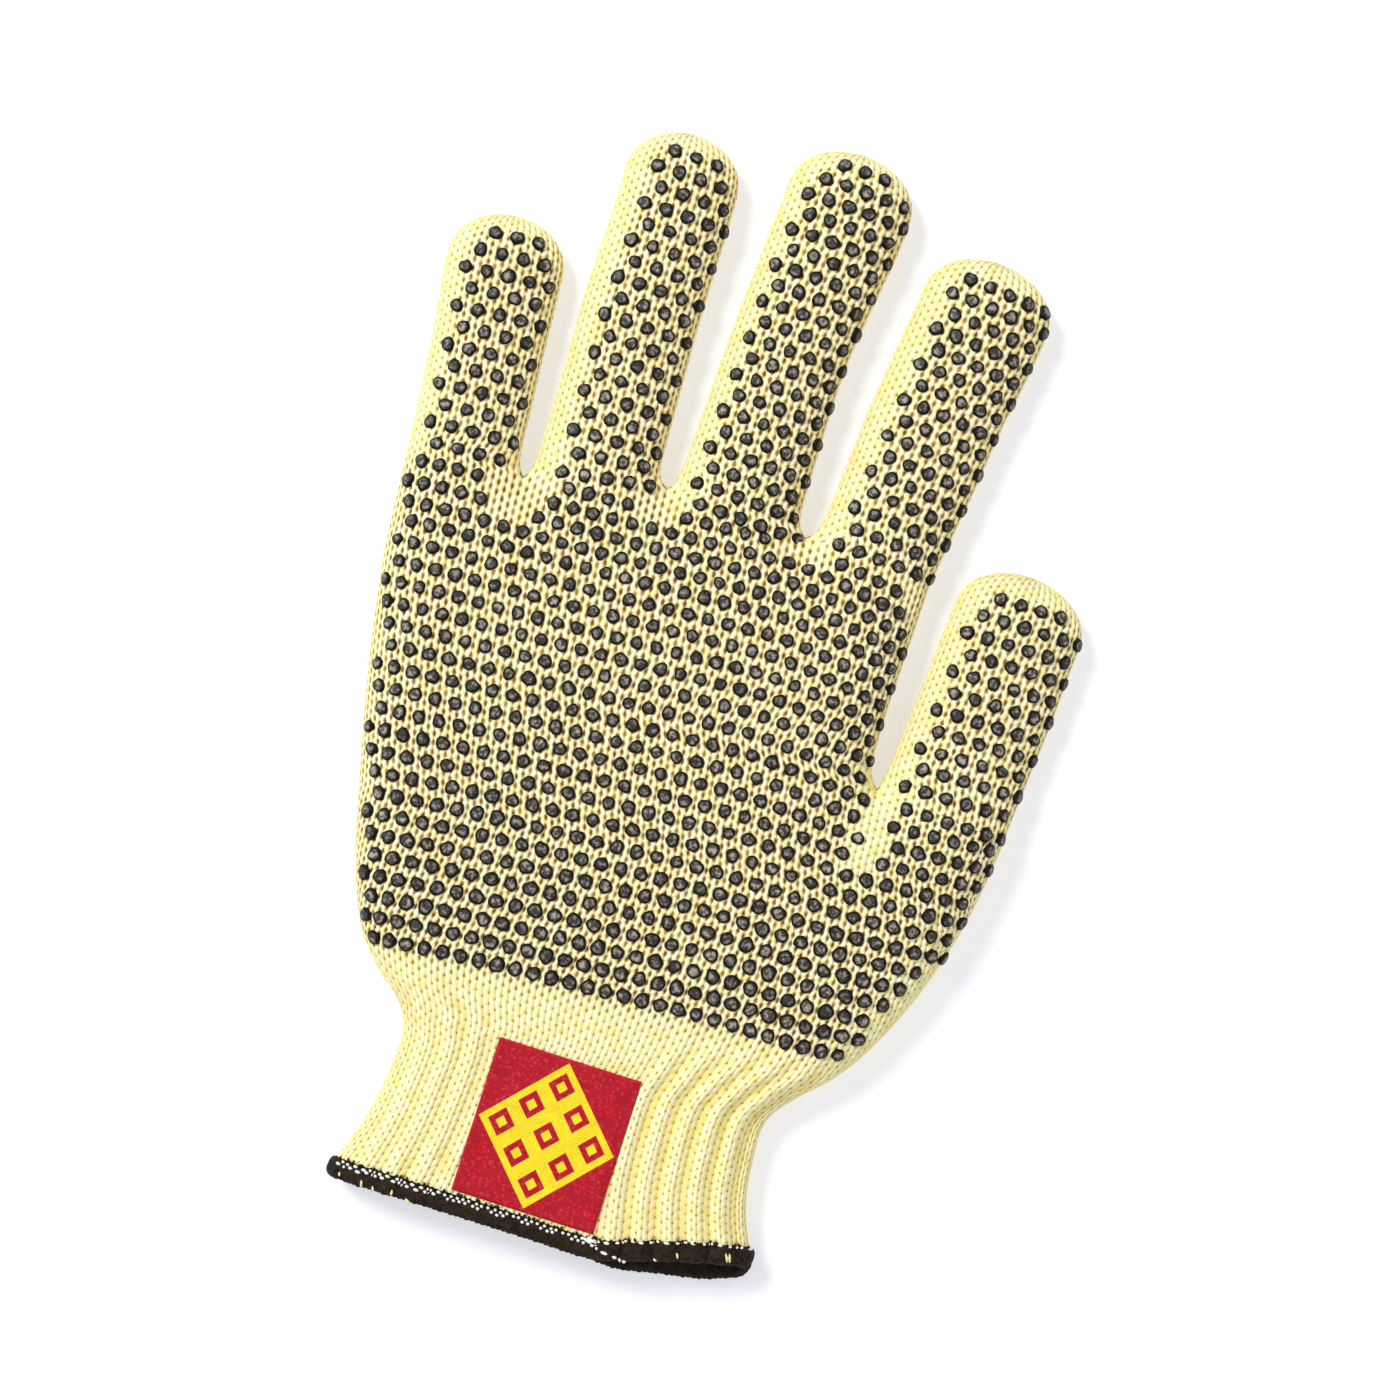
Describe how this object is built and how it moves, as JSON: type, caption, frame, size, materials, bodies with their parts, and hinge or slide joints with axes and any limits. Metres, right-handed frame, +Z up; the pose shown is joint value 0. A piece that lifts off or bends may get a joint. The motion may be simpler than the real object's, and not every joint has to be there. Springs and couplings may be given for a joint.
{
  "type": "dotted string-knit work glove",
  "caption": "Five-finger string-knit work glove with a dotted palm, an elastic cuff, a sewn hem and a cloth label.",
  "frame": {"origin": "on the resting surface, under the middle of the glove's bounding box", "axes": "+X towards the thumb side, +Y towards the fingertips, +Z up out of the dotted palm side"},
  "size_m": [0.1558, 0.25, 0.0152],
  "materials": {
    "knit": "pale yellow string knit, matt",
    "hem_yarn": "dark brown overlocked yarn, matt",
    "label_cloth": "crimson woven label with a yellow motif, matt",
    "pvc_dots": "black soft plastic, satin",
    "sewing_thread": "off-white thread, matt"
  },
  "bodies": {
    "root": {"little_finger": "knit", "ring_finger": "knit", "middle_finger": "knit", "index_finger": "knit", "thumb": "knit", "palm": "knit", "cuff": "knit", "hem": "hem_yarn", "cuff_label": "label_cloth"}
  },
  "joints": []
}
